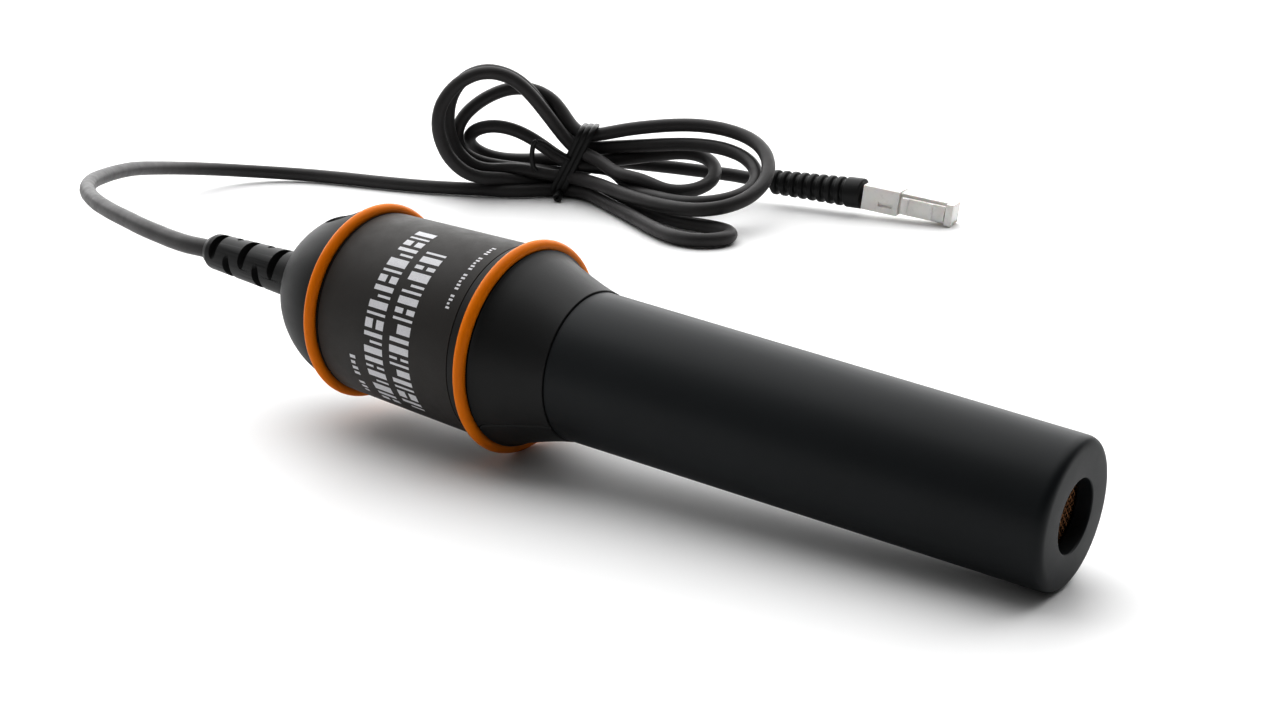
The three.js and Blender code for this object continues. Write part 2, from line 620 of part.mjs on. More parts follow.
function cordTie() {
  const { tie } = HANK;
  const inner = tie.wide / 2 + GAP;
  const outer = inner + tie.thickness;
  const half = tie.band / 2;
  const loop = block([-half, -outer, GAP], [half, outer, tie.top + GAP + tie.thickness])
    .subtract(block([-tie.band, -inner, tie.bottom - GAP], [tie.band, inner, tie.top + GAP]));
  return mesh('cord_tie', moved(loop, place(tie)), 'chipEpoxy');
}

const group = new THREE.Group();
group.add(
  probe,
  aimed(PLUG.start, PLUG.joint, plugStrainRelief()),
  aimed(PLUG.joint, PLUG.nosePoint, ...plugParts()),
  mesh('cord_lead_in', hose(leadInRoute, CORD_RADIUS, 10, 34), 'cordPvc'),
  cordHank(),
  cordTie(),
  mesh('cord_lead_out', hose(leadOutRoute, CORD_RADIUS, 10, 6), 'cordPvc'),
);

export default group;
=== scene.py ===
import json
import math

import bmesh
import bpy
import numpy as np
from mathutils import Matrix, Vector


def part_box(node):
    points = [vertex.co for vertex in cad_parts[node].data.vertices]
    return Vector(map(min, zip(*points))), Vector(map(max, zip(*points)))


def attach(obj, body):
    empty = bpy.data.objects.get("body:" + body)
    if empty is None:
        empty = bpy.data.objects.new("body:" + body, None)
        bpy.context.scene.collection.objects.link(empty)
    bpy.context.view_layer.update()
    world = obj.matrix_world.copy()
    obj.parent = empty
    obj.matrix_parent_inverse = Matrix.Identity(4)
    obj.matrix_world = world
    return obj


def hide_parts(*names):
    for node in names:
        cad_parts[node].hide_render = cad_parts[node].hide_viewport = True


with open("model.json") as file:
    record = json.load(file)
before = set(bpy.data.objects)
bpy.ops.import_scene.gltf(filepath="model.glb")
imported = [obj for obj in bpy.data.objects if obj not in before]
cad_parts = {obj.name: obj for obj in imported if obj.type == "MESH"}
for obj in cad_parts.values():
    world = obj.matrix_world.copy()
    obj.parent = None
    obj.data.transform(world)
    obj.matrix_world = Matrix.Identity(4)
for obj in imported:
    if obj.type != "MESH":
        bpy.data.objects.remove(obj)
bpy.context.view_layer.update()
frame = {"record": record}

MM = 0.001
BODY = "monitor"
CORD_RADIUS = 2.2  # mm


# ---------------------------------------------------------------- frames of the probe and the plug
def mount(name):
    return next(m for m in frame["record"]["mounts"] if m["name"] == name)


def frame_at(origin, along):
    """A frame whose X runs along the direction and whose Y stays level."""
    x = Vector(along).normalized()
    y = Vector((0, 0, 1)).cross(x).normalized()
    z = x.cross(y)
    m = Matrix((x, y, z)).transposed().to_4x4()
    m.translation = origin
    return m


def centre(node):
    low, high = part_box(node)
    return (Vector(low) + Vector(high)) / 2


PROBE = frame_at(centre("front_o_ring"), mount("window_face")["axis"])
PLUG_JOINT = Vector((-65.0, 233.1, 7.2)) * MM
PLUG_START = Vector((-98.0, 230.1, 7.6)) * MM
PLUG = frame_at(PLUG_JOINT, mount("plug_nose")["axis"])
RELIEF = frame_at(PLUG_START, PLUG_JOINT - PLUG_START)
PLUG_LENGTH = 30.5  # mm, joint to nose


# ---------------------------------------------------------------- camera
camera_data = bpy.data.cameras.new("camera")
camera = bpy.data.objects.new("camera", camera_data)
bpy.context.scene.collection.objects.link(camera)
camera_data.sensor_width = 36
camera_data.lens = 53.73
camera_data.clip_start, camera_data.clip_end = 0.01, 20
camera.location = (0.22958, -0.29539, 0.14044)
camera.rotation_mode = "QUATERNION"
camera.rotation_quaternion = Vector((-0.56045, 0.77183, -0.3003)).to_track_quat("-Z", "Y")
bpy.context.scene.camera = camera


# ---------------------------------------------------------------- materials
def material(name, colour, roughness, **sockets):
    """A Principled material with its node tree ready for detail."""
    m = bpy.data.materials.new(name)
    m.use_nodes = True
    shader = m.node_tree.nodes["Principled BSDF"]
    shader.inputs["Base Color"].default_value = (*colour, 1)
    shader.inputs["Roughness"].default_value = roughness
    for socket, value in sockets.items():
        shader.inputs[socket.replace("_", " ")].default_value = value
    return m


class Nodes:
    """Short calls for the node trees below."""

    def __init__(self, m):
        self.tree = m.node_tree
        self.shader = self.tree.nodes["Principled BSDF"]
        coords = self.tree.nodes.new("ShaderNodeTexCoord")
        self.object = coords.outputs["Object"]

    def link(self, a, b):
        self.tree.links.new(a, b)

    def new(self, kind, **values):
        node = self.tree.nodes.new(kind)
        for key, value in values.items():
            setattr(node, key, value)
        return node

    def scaled(self, scale):
        node = self.new("ShaderNodeMapping")
        node.inputs["Scale"].default_value = scale
        self.link(self.object, node.inputs["Vector"])
        return node.outputs[0]

    def noise(self, scale, detail=3, roughness=0.5, vector=None):
        node = self.new("ShaderNodeTexNoise")
        node.inputs["Scale"].default_value = scale
        node.inputs["Detail"].default_value = detail
        node.inputs["Roughness"].default_value = roughness
        self.link(vector or self.object, node.inputs["Vector"])
        return node.outputs["Fac"]

    def ramp(self, value, stops, interpolation="LINEAR"):
        node = self.new("ShaderNodeValToRGB")
        node.color_ramp.interpolation = interpolation
        elements = node.color_ramp.elements
        while len(elements) < len(stops):
            elements.new(0.5)
        for element, (place, colour) in zip(elements, stops):
            element.position = place
            element.color = (*colour, 1) if len(colour) == 3 else (colour[0],) * 3 + (1,)
        self.link(value, node.inputs["Fac"])
        return node.outputs["Color"]

    def span(self, value, low, high, start=0.0, end=1.0):
        node = self.new("ShaderNodeMapRange")
        for socket, number in zip(("From Min", "From Max", "To Min", "To Max"), (start, end, low, high)):
            node.inputs[socket].default_value = number
        self.link(value, node.inputs["Value"])
        return node.outputs["Result"]

    def mix(self, factor, a, b, blend="MIX"):
        node = self.new("ShaderNodeMix", data_type="RGBA", blend_type=blend)
        colour = [s for s in node.inputs if s.type == "RGBA"]
        for source, socket in ((factor, node.inputs["Factor"]), (a, colour[0]), (b, colour[1])):
            if isinstance(source, (int, float)):
                socket.default_value = source
            elif isinstance(source, tuple):
                socket.default_value = (*source, 1)
            else:
                self.link(source, socket)
        return next(s for s in node.outputs if s.type == "RGBA")

    def math(self, operation, a, b=0.0):
        node = self.new("ShaderNodeMath", operation=operation)
        for source, socket in ((a, node.inputs[0]), (b, node.inputs[1])):
            if isinstance(source, (int, float)):
                socket.default_value = source
            else:
                self.link(source, socket)
        return node.outputs[0]

    def bump(self, height, strength, distance, under=None):
        node = self.new("ShaderNodeBump")
        node.inputs["Strength"].default_value = strength
        node.inputs["Distance"].default_value = distance
        self.link(height, node.inputs["Height"])
        if under is not None:
            self.link(under, node.inputs["Normal"])
        self.link(node.outputs["Normal"], self.shader.inputs["Normal"])
        return node.outputs["Normal"]

    def colour(self, source):
        self.link(source, self.shader.inputs["Base Color"])

    def rough(self, source):
        self.link(source, self.shader.inputs["Roughness"])


def tint(colour, k):
    return tuple(min(1.0, c * k) for c in colour)


def moulded(name, colour, roughness, grain=2600, depth=0.5, handled=0.05, **sockets):
    """Moulded plastic or rubber: fine spark-eroded grain, slow colour drift, faint marks from handling."""
    m = material(name, colour, roughness, **{"Specular_IOR_Level": 0.3, **sockets})
    n = Nodes(m)
    drift = n.noise(45, 4, 0.6)
    fine = n.noise(grain, 2, 0.6)
    marks = n.noise(0.9, 5, 0.7, n.scaled((60, 260, 260)))
    tone = n.ramp(drift, [(0.3, tint(colour, 0.86)), (0.7, tint(colour, 1.16))])
    n.colour(n.mix(n.span(fine, 0.0, 0.35, 0.35, 0.75), tone, tint(colour, 1.35)))
    worn = n.math("ADD", marks, n.math("MULTIPLY", fine, 0.35))
    n.rough(n.span(worn, roughness - handled, roughness + handled, 0.35, 1.0))
    n.bump(fine, depth, 0.00003)
    return m


def make_materials():
    made = {}
    made["black_abs"] = moulded(
        "black_abs", (0.0125, 0.0128, 0.013), 0.46, 3200, 0.35, Specular_IOR_Level=0.33)
    made["tube_abs"] = moulded(
        "tube_abs", (0.0072, 0.0092, 0.0108), 0.44, 5200, 0.2, 0.035, Specular_IOR_Level=0.27)

    m = material("orange_rubber", (0.8, 0.225, 0.001), 0.42, Specular_IOR_Level=0.16)
    n = Nodes(m)
    slow = n.noise(120, 4, 0.6)
    n.colour(n.ramp(slow, [(0.25, (0.74, 0.2, 0.0005)), (0.75, (0.84, 0.245, 0.0015))]))
    n.rough(n.span(n.noise(900, 3), 0.32, 0.46, 0.3, 0.7))
    n.bump(n.noise(2400, 2), 0.25, 0.00003)
    made["orange_rubber"] = m

    m = material("label_film", (0.036, 0.0335, 0.031), 0.5, Specular_IOR_Level=0.3)
    n = Nodes(m)
    paper = n.noise(5200, 2, 0.7)
    slow = n.noise(50, 3)
    specks = n.span(paper, 0.0, 0.6, 0.35, 0.7)
    tone = n.ramp(slow, [(0.3, (0.032, 0.030, 0.028)), (0.7, (0.040, 0.037, 0.034))])
    n.colour(n.mix(specks, tone, (0.048, 0.044, 0.041)))
    n.rough(n.span(n.noise(300, 4, 0.7), 0.44, 0.56, 0.3, 0.7))
    n.bump(paper, 0.3, 0.00002)
    made["label_film"] = m

    m = material("print_white", (0.74, 0.74, 0.76), 0.55)
    n = Nodes(m)
    ink = n.noise(6000, 2, 0.7)
    n.colour(n.ramp(ink, [(0.3, (0.62, 0.62, 0.65)), (0.55, (0.76, 0.76, 0.78))]))
    n.bump(ink, 0.2, 0.00002)
    made["print_white"] = m

    made["soft_pvc"] = moulded("soft_pvc", (0.0135, 0.0138, 0.014), 0.42, 3000, 0.3, 0.05)

    m = material("cord_pvc", (0.040, 0.038, 0.0385), 0.46, Specular_IOR_Level=0.3)
    n = Nodes(m)
    drift = n.noise(70, 4, 0.6)
    fine = n.noise(3400, 2, 0.6)
    specks = n.span(fine, 0.0, 0.5, 0.4, 0.8)
    tone = n.ramp(drift, [(0.3, (0.035, 0.0335, 0.034)), (0.7, (0.048, 0.0455, 0.0455))])
    n.colour(n.mix(specks, tone, (0.064, 0.061, 0.061)))
    n.rough(n.span(n.noise(260, 4, 0.7), 0.36, 0.5, 0.3, 0.7))
    n.bump(fine, 0.35, 0.00003)
    made["cord_pvc"] = m

    made["tie_plastic"] = moulded("tie_plastic", (0.012, 0.012, 0.012), 0.36, 3200, 0.3)
    made["black_rubber"] = moulded("black_rubber", (0.011, 0.011, 0.011), 0.75, 1800, 0.6)

    m = material("plug_plastic", (0.88, 0.87, 0.84), 0.3, Subsurface_Weight=0.12, Subsurface_Scale=0.002)
    n = Nodes(m)
    n.colour(n.ramp(n.noise(140, 4, 0.6), [(0.3, (0.86, 0.85, 0.82)), (0.7, (0.91, 0.90, 0.88))]))
    n.rough(n.span(n.noise(500, 4, 0.7), 0.22, 0.4, 0.3, 0.7))
    n.bump(n.noise(1500, 2), 0.15, 0.00003)
    made["plug_plastic"] = m

    m = material("copper_mesh", (0.2, 0.09, 0.035), 0.42, Metallic=0.7)
    n = Nodes(m)
    tarnish = [(0.3, (0.10, 0.04, 0.016)), (0.55, (0.21, 0.095, 0.035)), (0.8, (0.33, 0.17, 0.07))]
    n.colour(n.ramp(n.noise(900, 4, 0.7), tarnish))
    n.rough(n.span(n.noise(2500, 2), 0.28, 0.55, 0.3, 0.7))
    n.bump(n.noise(6000, 2), 0.4, 0.00002)
    made["copper_mesh"] = m

    def metal(name, colour, roughness, stretch):
        """Drawn or plated metal with lines along X."""
        m = material(name, colour, roughness, Metallic=1.0)
        n = Nodes(m)
        lines = n.noise(1.0, 4, 0.7, n.scaled(stretch))
        n.colour(n.ramp(lines, [(0.3, tint(colour, 0.8)), (0.7, tint(colour, 1.12))]))
        n.rough(n.span(lines, roughness - 0.1, roughness + 0.14, 0.3, 0.7))
        n.bump(lines, 0.25, 0.00002)
        return m

    made["nickel_steel"] = metal("nickel_steel", (0.52, 0.51, 0.49), 0.34, (120, 3000, 3000))
    made["gold_plate"] = metal("gold_plate", (0.83, 0.56, 0.20), 0.26, (400, 4000, 4000))

    m = material("mica", (0.45, 0.36, 0.24), 0.22, Transmission_Weight=0.35, IOR=1.58)
    n = Nodes(m)
    n.colour(n.ramp(n.noise(500, 5, 0.7), [(0.3, (0.34, 0.26, 0.16)), (0.7, (0.55, 0.46, 0.33))]))
    n.bump(n.noise(260, 3), 0.3, 0.00004)
    made["mica"] = m

    m = material("glass_seal", (0.12, 0.22, 0.16), 0.12, Transmission_Weight=0.5, IOR=1.5)
    n = Nodes(m)
    n.colour(n.ramp(n.noise(1400, 3), [(0.35, (0.09, 0.17, 0.12)), (0.65, (0.16, 0.28, 0.2))]))
    made["glass_seal"] = m

    m = material("board_laminate", (0.012, 0.085, 0.035), 0.34)
    n = Nodes(m)
    weave = n.new("ShaderNodeTexChecker")
    weave.inputs["Scale"].default_value = 1400
    n.link(n.object, weave.inputs["Vector"])
    tracks = n.new("ShaderNodeTexBrick", offset=0.5)
    tracks.inputs["Scale"].default_value = 210
    tracks.inputs["Mortar Size"].default_value = 0.05
    n.link(n.object, tracks.inputs["Vector"])
    base = n.mix(n.math("MULTIPLY", weave.outputs["Fac"], 0.25), (0.010, 0.075, 0.030), (0.016, 0.10, 0.045))
    n.colour(n.mix(n.math("MULTIPLY", tracks.outputs["Fac"], 0.7), base, (0.035, 0.17, 0.07)))
    n.bump(tracks.outputs["Fac"], 0.5, 0.00004)
    made["board_laminate"] = m

    made["chip_epoxy"] = moulded("chip_epoxy", (0.012, 0.012, 0.0125), 0.55, 2600, 0.5)
    made["ferrite"] = moulded("ferrite", (0.055, 0.052, 0.05), 0.7, 1500, 0.8)
    made["ceramic_coat"] = moulded("ceramic_coat", (0.46, 0.25, 0.09), 0.4, 1200, 0.4)
    made["can_sleeve"] = moulded("can_sleeve", (0.02, 0.032, 0.09), 0.32, 1800, 0.2)
    made["header_nylon"] = moulded("header_nylon", (0.72, 0.70, 0.66), 0.45, 1800, 0.3)
    made["wire_red"] = moulded("wire_red", (0.34, 0.022, 0.015), 0.35, 1600, 0.2)
    made["wire_black"] = moulded("wire_black", (0.012, 0.012, 0.012), 0.35, 1600, 0.2)
    return made


MATERIALS = make_materials()


# ---------------------------------------------------------------- mesh helpers, in local millimetres
def add_piece(name, verts, faces, slot, place=PROBE, sharp=32, replaces=(), body=BODY):
    mesh = bpy.data.meshes.new(name)
    mesh.from_pydata([Vector(v) * MM for v in verts], [], faces)
    tidy = bmesh.new()
    tidy.from_mesh(mesh)
    bmesh.ops.remove_doubles(tidy, verts=tidy.verts, dist=2e-7)
    bmesh.ops.recalc_face_normals(tidy, faces=tidy.faces)
    tidy.to_mesh(mesh)
    tidy.free()
    piece = bpy.data.objects.new(name, mesh)
    bpy.context.scene.collection.objects.link(piece)
    piece.matrix_world = place
    finish_piece(piece, slot, sharp, replaces, body)
    return piece


def finish_piece(piece, slot, sharp=32, replaces=(), body=BODY):
    mesh = piece.data
    mesh.materials.clear()
    mesh.materials.append(MATERIALS[slot])
    if sharp is not None:
        for polygon in mesh.polygons:
            polygon.use_smooth = True
        mesh.set_sharp_from_angle(angle=math.radians(sharp))
    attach(piece, body)
    if replaces:
        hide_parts(*replaces)


def scrap(verts, faces, place):
    """A mesh object used only as a cutter."""
    mesh = bpy.data.meshes.new("scrap")
    mesh.from_pydata([Vector(v) * MM for v in verts], [], faces)
    tidy = bmesh.new()
    tidy.from_mesh(mesh)
    bmesh.ops.recalc_face_normals(tidy, faces=tidy.faces)
    tidy.to_mesh(mesh)
    tidy.free()
    cutter = bpy.data.objects.new("scrap", mesh)
    bpy.context.scene.collection.objects.link(cutter)
    cutter.matrix_world = place
    return cutter


def baked(piece):
    """Replaces the piece's mesh by what its modifiers make of it."""
    graph = bpy.context.evaluated_depsgraph_get()
    made = bpy.data.meshes.new_from_object(piece.evaluated_get(graph))
    piece.modifiers.clear()
    piece.data = made


def combine(piece, cutter, operation):
    bpy.context.view_layer.update()
    modifier = piece.modifiers.new("cut", "BOOLEAN")
    modifier.operation, modifier.solver, modifier.object = operation, "EXACT", cutter
    baked(piece)
    bpy.data.objects.remove(cutter, do_unlink=True)


def soften(piece, width, angle=40, segments=2):
    modifier = piece.modifiers.new("edge", "BEVEL")
    modifier.width, modifier.segments = width * MM, segments
    modifier.limit_method, modifier.angle_limit = "ANGLE", math.radians(angle)
    modifier.harden_normals = False
    baked(piece)


def fillet(points, steps=4):
    """A closed outline of (x, r) or (x, r, radius) points: a corner that has a radius becomes an arc."""
    made = []
    count = len(points)
    for i, point in enumerate(points):
        here = Vector(point[:2])
        radius = point[2] if len(point) > 2 else 0
        if radius <= 0:
            made.append(tuple(here))
            continue
        to_last = Vector(points[i - 1][:2]) - here
        to_next = Vector(points[(i + 1) % count][:2]) - here
        half = to_last.angle(to_next) / 2
        reach = min(radius / math.tan(half), to_last.length * 0.49, to_next.length * 0.49)
        start, end = here + to_last.normalized() * reach, here + to_next.normalized() * reach
        for k in range(steps + 1):
            t = k / steps
            made.append(tuple(start * (1 - t) ** 2 + here * 2 * t * (1 - t) + end * t**2))
    return made


def turned(profile, segments=160):
    """Vertices and faces of a closed (x, r) profile turned about X."""
    verts, faces = [], []
    count = len(profile)
    for k in range(segments):
        a = 2 * math.pi * k / segments
        verts += [(x, r * math.cos(a), r * math.sin(a)) for x, r in profile]
    for k in range(segments):
        for i in range(count):
            j = (i + 1) % count
            if profile[i][1] == 0 and profile[j][1] == 0:
                continue
            a, b = k * count, (k + 1) % segments * count
            quad = [a + i, a + j, b + j, b + i]
            if profile[i][1] == 0:
                quad = [a + i, a + j, b + j]
            elif profile[j][1] == 0:
                quad = [a + i, a + j, b + i]
            faces.append(quad)
    return verts, faces


def half_turned(outer, inner, start, end, segments, chamfer):
    """The wall between two profiles, turned through less than a full circle, with its outer edge eased."""
    eased = [0.3, 0.09, 0]  # mm that the outside draws in towards the edge
    edge = [start, start + chamfer, start + 2 * chamfer]
    middle = list(np.linspace(start + 0.04, end - 0.04, segments))
    angles = edge + middle + [end - 2 * chamfer, end - chamfer, end]
    pulls = eased + [0] * segments + eased[::-1]
    verts, faces = [], []
    count = len(outer) + len(inner)
    for a, pull in zip(angles, pulls):
        for x, r in [(x, r - pull) for x, r in outer] + list(inner):
            verts.append((x, r * math.cos(a), r * math.sin(a)))
    for k in range(len(angles) - 1):
        for i in range(count):
            j = (i + 1) % count
            faces.append([k * count + i, k * count + j, (k + 1) * count + j, (k + 1) * count + i])
    faces.append(list(range(count)))
    faces.append(list(range((len(angles) - 1) * count, len(angles) * count)))
    return verts, faces


def box_mesh(low, high):
    x, y, z = zip(low, high)
    verts = [(a, b, c) for a in x for b in y for c in z]
    faces = [(0, 1, 3, 2), (4, 6, 7, 5), (0, 4, 5, 1), (2, 3, 7, 6), (0, 2, 6, 4), (1, 5, 7, 3)]
    return verts, faces


def prism(outline, z0, z1):
    """An upright prism on an (x, y) outline."""
    count = len(outline)
    verts = [(x, y, z0) for x, y in outline] + [(x, y, z1) for x, y in outline]
    faces = [list(range(count))[::-1], list(range(count, 2 * count))]
    faces += [[i, (i + 1) % count, (i + 1) % count + count, i + count] for i in range(count)]
    return verts, faces


def obround(long_x, long_y, steps=16):
    r, h = long_x / 2, long_y / 2 - long_x / 2
    angles = [math.pi * k / steps for k in range(steps + 1)]
    points = [(r * math.cos(a), h + r * math.sin(a)) for a in angles]
    return points + [(-x, -y) for x, y in points]


# ---------------------------------------------------------------- cord: one line from probe to plug
LEAD_IN = [
    (-110.3, 0, 29.7), (-114, 0.1, 29.75), (-118.5, 0.5, 29.6), (-125.9, 2.1, 29.4), (-133.7, 4.1, 29.4),
    (-142.3, 6.6, 29.3), (-152.1, 10.2, 29.1), (-164.1, 15, 28.6), (-180, 22.7, 27.6),
    (-194.5, 31.4, 26.5), (-206.5, 40.4, 25.2), (-216.3, 49.4, 24), (-225.1, 59, 22.4),
    (-237.5, 75.1, 19.8), (-248.1, 91.3, 16.9), (-257.5, 109.1, 13), (-263.3, 126.6, 9.2),
    (-264.7, 141, 6.2), (-261.9, 152, 4.1), (-255.5, 159.9, 2.9), (-246.4, 165, 2.4),
    (-234.8, 168.1, 2.35), (-211.3, 172.7, 2.35), (-196.9, 176.9, 2.35), (-181.5, 184, 2.35),
    (-169, 191, 2.35),
]
LEAD_OUT = [
    (-154, 213, 10.5), (-144.5, 217.5, 10.1), (-134.5, 221.6, 9.5), (-123.5, 225.4, 8.8),
    (-113, 228.4, 8.2), (-106, 229.38, 7.75), (-98.5, 230.055, 7.606),
]
TIE = Vector((-159.5, 201.5, 0))
TIE_YAW = 0.45
TIE_LEAN = 0.5  # the tie's top leans towards the plug
ROW_HEIGHT = 4.55
COLUMN_OFFSET = 2.25
LOWEST_ROW = 2.4


def slot_in_tie(column, row):
    """The place of one strand in the tied bundle: two columns, five leaning rows."""
    along = Vector((math.cos(TIE_YAW), math.sin(TIE_YAW), 0))
    across = Vector((-along.y, along.x, 0))
    lean = along * TIE_LEAN * ROW_HEIGHT * (row - 2)
    return tuple(TIE + lean + across * COLUMN_OFFSET * column + Vector((0, 0, LOWEST_ROW + ROW_HEIGHT * row)))


TIE_ORDER = [(-1, 0), (1, 0), (-1, 3), (1, 2), (-1, 2), (1, 3), (-1, 1), (0, 4), (1, 1)]
HANK_LOOPS = [
    [(-151, 198, 2.8), (-140, 192.5, 2.4), (-126, 184.5, 2.4), (-112, 176, 2.4), (-99, 168.5, 2.4),
     (-90, 165.5, 2.4), (-82, 167, 2.4), (-78.5, 173.5, 2.4), (-81, 180.5, 2.4), (-89, 183, 2.4),
     (-101, 183, 2.4), (-116, 188, 2.4), (-132, 196, 2.4), (-147, 202.5, 2.4)],
    [(-172, 193, 4.5), (-179, 184, 5), (-184, 178, 8), (-188, 173, 13), (-190, 171, 19), (-191, 170, 25),
     (-190, 171, 32), (-187, 175, 38), (-183, 180, 41.5), (-178, 185, 42), (-172.5, 190, 38.5),
     (-167, 194, 31), (-163, 197.5, 24)],
    [(-147, 200, 14), (-136, 196, 10.8), (-124, 194.5, 8.7), (-114, 197, 8), (-109, 205, 8.5),
     (-110, 214, 11), (-116, 220.5, 14), (-126, 221, 15.5), (-137, 215, 14), (-149, 207, 12.5)],
    [(-170, 202.5, 10.8), (-178, 202, 10), (-186, 199.5, 9.5), (-192, 195, 11), (-194.5, 189.5, 15.5),
     (-191, 185.5, 20.5), (-185, 188, 23), (-178, 193, 22), (-171, 197, 18)],
    [(-147, 204, 11), (-133, 197, 8), (-118, 191, 7), (-103, 187.5, 7.5), (-92, 191, 9), (-88, 200, 11),
     (-91, 209.5, 14), (-98, 215.5, 17), (-108, 218, 19), (-120, 217, 19.5), (-133, 213, 18.5),
     (-146, 208.5, 17)],
    [(-165, 203, 21), (-169, 201, 28), (-174, 198, 35), (-179, 193, 40), (-184, 188, 42), (-189, 183, 40),
     (-192, 179.5, 35), (-193, 178, 29), (-193, 178, 22), (-191, 179.5, 15), (-187, 182.5, 10),
     (-181, 187.5, 8), (-171, 195, 7)],
    [(-144, 194, 7.5), (-122, 185.5, 7), (-104, 181.5, 7), (-91, 182, 8), (-84, 189, 10),
     (-83, 200, 13.5), (-87, 210, 18), (-95, 217, 22), (-107, 220.5, 24.5), (-121, 219, 25.5),
     (-134, 213.5, 24.5), (-146, 207.5, 22.5)],
    [(-163, 203.5, 25), (-169, 203, 31), (-175, 200, 34.5), (-181, 196, 35), (-187, 191, 32),
     (-192, 186, 27), (-194.5, 183, 21), (-193.5, 183, 14.5), (-188, 187, 10.5), (-180, 193, 8.5),
     (-171, 199.5, 7.5)],
]


def spline_through(points, spacing):
    """Points at an even spacing on the centripetal Catmull-Rom curve through the given ones."""
    p = np.array(points, float)
    p = np.vstack([2 * p[0] - p[1], p, 2 * p[-1] - p[-2]])
    fine = []
    for i in range(1, len(p) - 2):
        q = p[i - 1:i + 3]
        t = np.concatenate([[0], np.cumsum(np.linalg.norm(np.diff(q, axis=0), axis=1) ** 0.5)])
        s = np.linspace(t[1], t[2], 24, endpoint=False)[:, None]
        a = [((t[k + 1] - s) * q[k] + (s - t[k]) * q[k + 1]) / (t[k + 1] - t[k]) for k in range(3)]
        b = [((t[k + 2] - s) * a[k] + (s - t[k]) * a[k + 1]) / (t[k + 2] - t[k]) for k in range(2)]
        fine.append(((t[2] - s) * b[0] + (s - t[1]) * b[1]) / (t[2] - t[1]))
    fine = np.vstack([*fine, p[-2]])
    return evenly(fine, spacing)


def evenly(line, spacing):
    run = np.concatenate([[0], np.cumsum(np.linalg.norm(np.diff(line, axis=0), axis=1))])
    stops = np.linspace(0, run[-1], max(2, round(run[-1] / spacing)) + 1)
    return np.stack([np.interp(stops, run, line[:, k]) for k in range(3)], axis=1)


def settled_cord():
    """The hank's strands eased apart until they lie on each other and on the table, and not in each other."""
    middle = [slot_in_tie(*TIE_ORDER[0])]
    for loop, slot in zip(HANK_LOOPS, TIE_ORDER[1:]):
        middle += [*loop, slot_in_tie(*slot)]
    start = tuple(PROBE @ Vector((-0.0905, 0, 0)) * 1000)  # inside the probe's relief
    end = tuple(RELIEF @ Vector((0.004, 0, 0)) * 1000)  # inside the plug's relief
    spacing = 2.0
    line = spline_through([start, *LEAD_IN, *middle, *LEAD_OUT, end], spacing)
    pins = [np.array(slot_in_tie(*slot)) for slot in TIE_ORDER]
    holds = [int(np.argmin(np.linalg.norm(line - place, axis=1))) for place in pins]
    first = int(np.argmin(np.linalg.norm(line - LEAD_IN[-3], axis=1)))
    last = int(np.argmin(np.linalg.norm(line - LEAD_OUT[1], axis=1)))
    wanted = line.copy()
    apart = 2 * CORD_RADIUS * 1.03
    sharpest = spacing**2 / (2 * 9.5)  # what a 9.5 mm bend stands off its chord at this spacing
    tiny = 1e-9
    rounds, search_every, search_margin, own_neighbours = 600, 8, 3, 8
    homing, stiffness, unbending, pushing, longest_move = 0.008, 0.04, 0.35, 0.25, 0.6
    for step in range(rounds):
        if step % search_every == 0:
            gap = np.linalg.norm(line[:, None, :] - line[None, :, :], axis=2)
            one, other = np.nonzero(np.triu(gap < apart + search_margin, own_neighbours))
        move = (wanted - line) * homing
        bend = line[:-4] - 4 * line[1:-3] + 6 * line[2:-2] - 4 * line[3:-1] + line[4:]
        move[2:-2] -= bend * stiffness
        stand = (line[:-2] + line[2:]) / 2 - line[1:-1]
        size = np.linalg.norm(stand, axis=1)[:, None] + tiny
        move[1:-1] += stand * unbending * np.maximum(1 - sharpest / size, 0)
        for i, place in zip(holds, pins):
            for k, share in ((-2, 0.1), (-1, 0.2), (0, 0.25), (1, 0.2), (2, 0.1)):
                move[i + k] += (place - line[i]) * share
        across = line[one] - line[other]
        gap = np.linalg.norm(across, axis=1) + tiny
        push = across * (np.maximum(apart - gap, 0) / gap * pushing)[:, None]
        np.add.at(move, one, push)
        np.add.at(move, other, -push)
        line[first:last] += np.clip(move[first:last], -longest_move, longest_move)
        line[:, 2] = np.maximum(line[:, 2], CORD_RADIUS + 0.1)
    for _ in range(4):
        before, here, after = line[first - 1:last - 1], line[first:last], line[first + 1:last + 1]
        line[first:last] = before * 0.25 + here * 0.5 + after * 0.25
    return evenly(line, 1.6)


def make_cord():
    line = settled_cord()
    curve = bpy.data.curves.new("cord", "CURVE")
    curve.dimensions = "3D"
    curve.bevel_depth = CORD_RADIUS * MM
    curve.bevel_resolution = 6
    curve.use_fill_caps = True
    spline = curve.splines.new("POLY")
    spline.points.add(len(line) - 1)
    spline.points.foreach_set("co", np.hstack([line * MM, np.ones((len(line), 1))]).ravel())
    spline.use_smooth = True
    curve.materials.append(MATERIALS["cord_pvc"])
    cord = bpy.data.objects.new("cord", curve)
    bpy.context.scene.collection.objects.link(cord)
    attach(cord, BODY)
    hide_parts("cord_lead_in", "cord_hank", "cord_lead_out")
    return cord


cord = make_cord()


# ---------------------------------------------------------------- handle
PARTING = math.radians(37.5)
FRONT_RING = dict(x=0, outer=23, wire=1.3)
REAR_RING = dict(x=-43.1, outer=21.84, wire=1.3)
LABEL = (-41.3, -3.95)
DOME = dict(start=-45, length=21.5, power=1.72)
SWITCH_X = -51.4
SWITCH_SLOPE = math.radians(21)
TUBE_END = 123.45
RELIEF_END, RELIEF_ROOT = -96, -67


def handle_radius(x):
    return 21.08 + 0.023 * x


